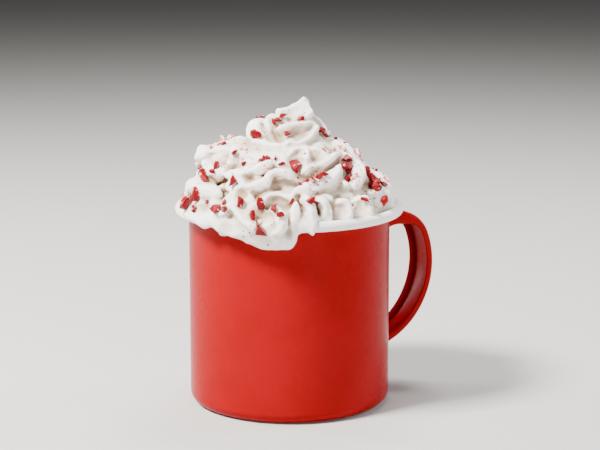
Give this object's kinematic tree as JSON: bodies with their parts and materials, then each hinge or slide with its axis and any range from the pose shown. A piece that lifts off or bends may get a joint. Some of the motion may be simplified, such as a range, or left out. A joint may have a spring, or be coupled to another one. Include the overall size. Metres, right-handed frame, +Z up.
{
  "type": "hot chocolate",
  "caption": "Enamelled steel mug of hot chocolate, heaped with swirled whipped cream that runs over the rim, with crushed peppermint candy on top and a strap handle.",
  "frame": {"origin": "centre of the ring that the mug stands on, on the mug's axis", "axes": "+Z up along the mug's axis, +X through the middle of the handle, +Y completes a right-handed set"},
  "size_m": [0.126, 0.1022, 0.1351],
  "materials": {
    "red_enamel": "glossy red vitreous enamel on sheet steel, with a white enamel rim and inside",
    "hot_chocolate": "opaque brown drink with a glossy surface",
    "whipped_cream": "soft warm white cream, satin, slightly translucent",
    "peppermint": "crushed hard candy in red, pink and white"
  },
  "bodies": {
    "root": {"mug_body": "red_enamel", "handle": "red_enamel", "hot_chocolate": "hot_chocolate", "whipped_cream": "whipped_cream"}
  },
  "joints": []
}
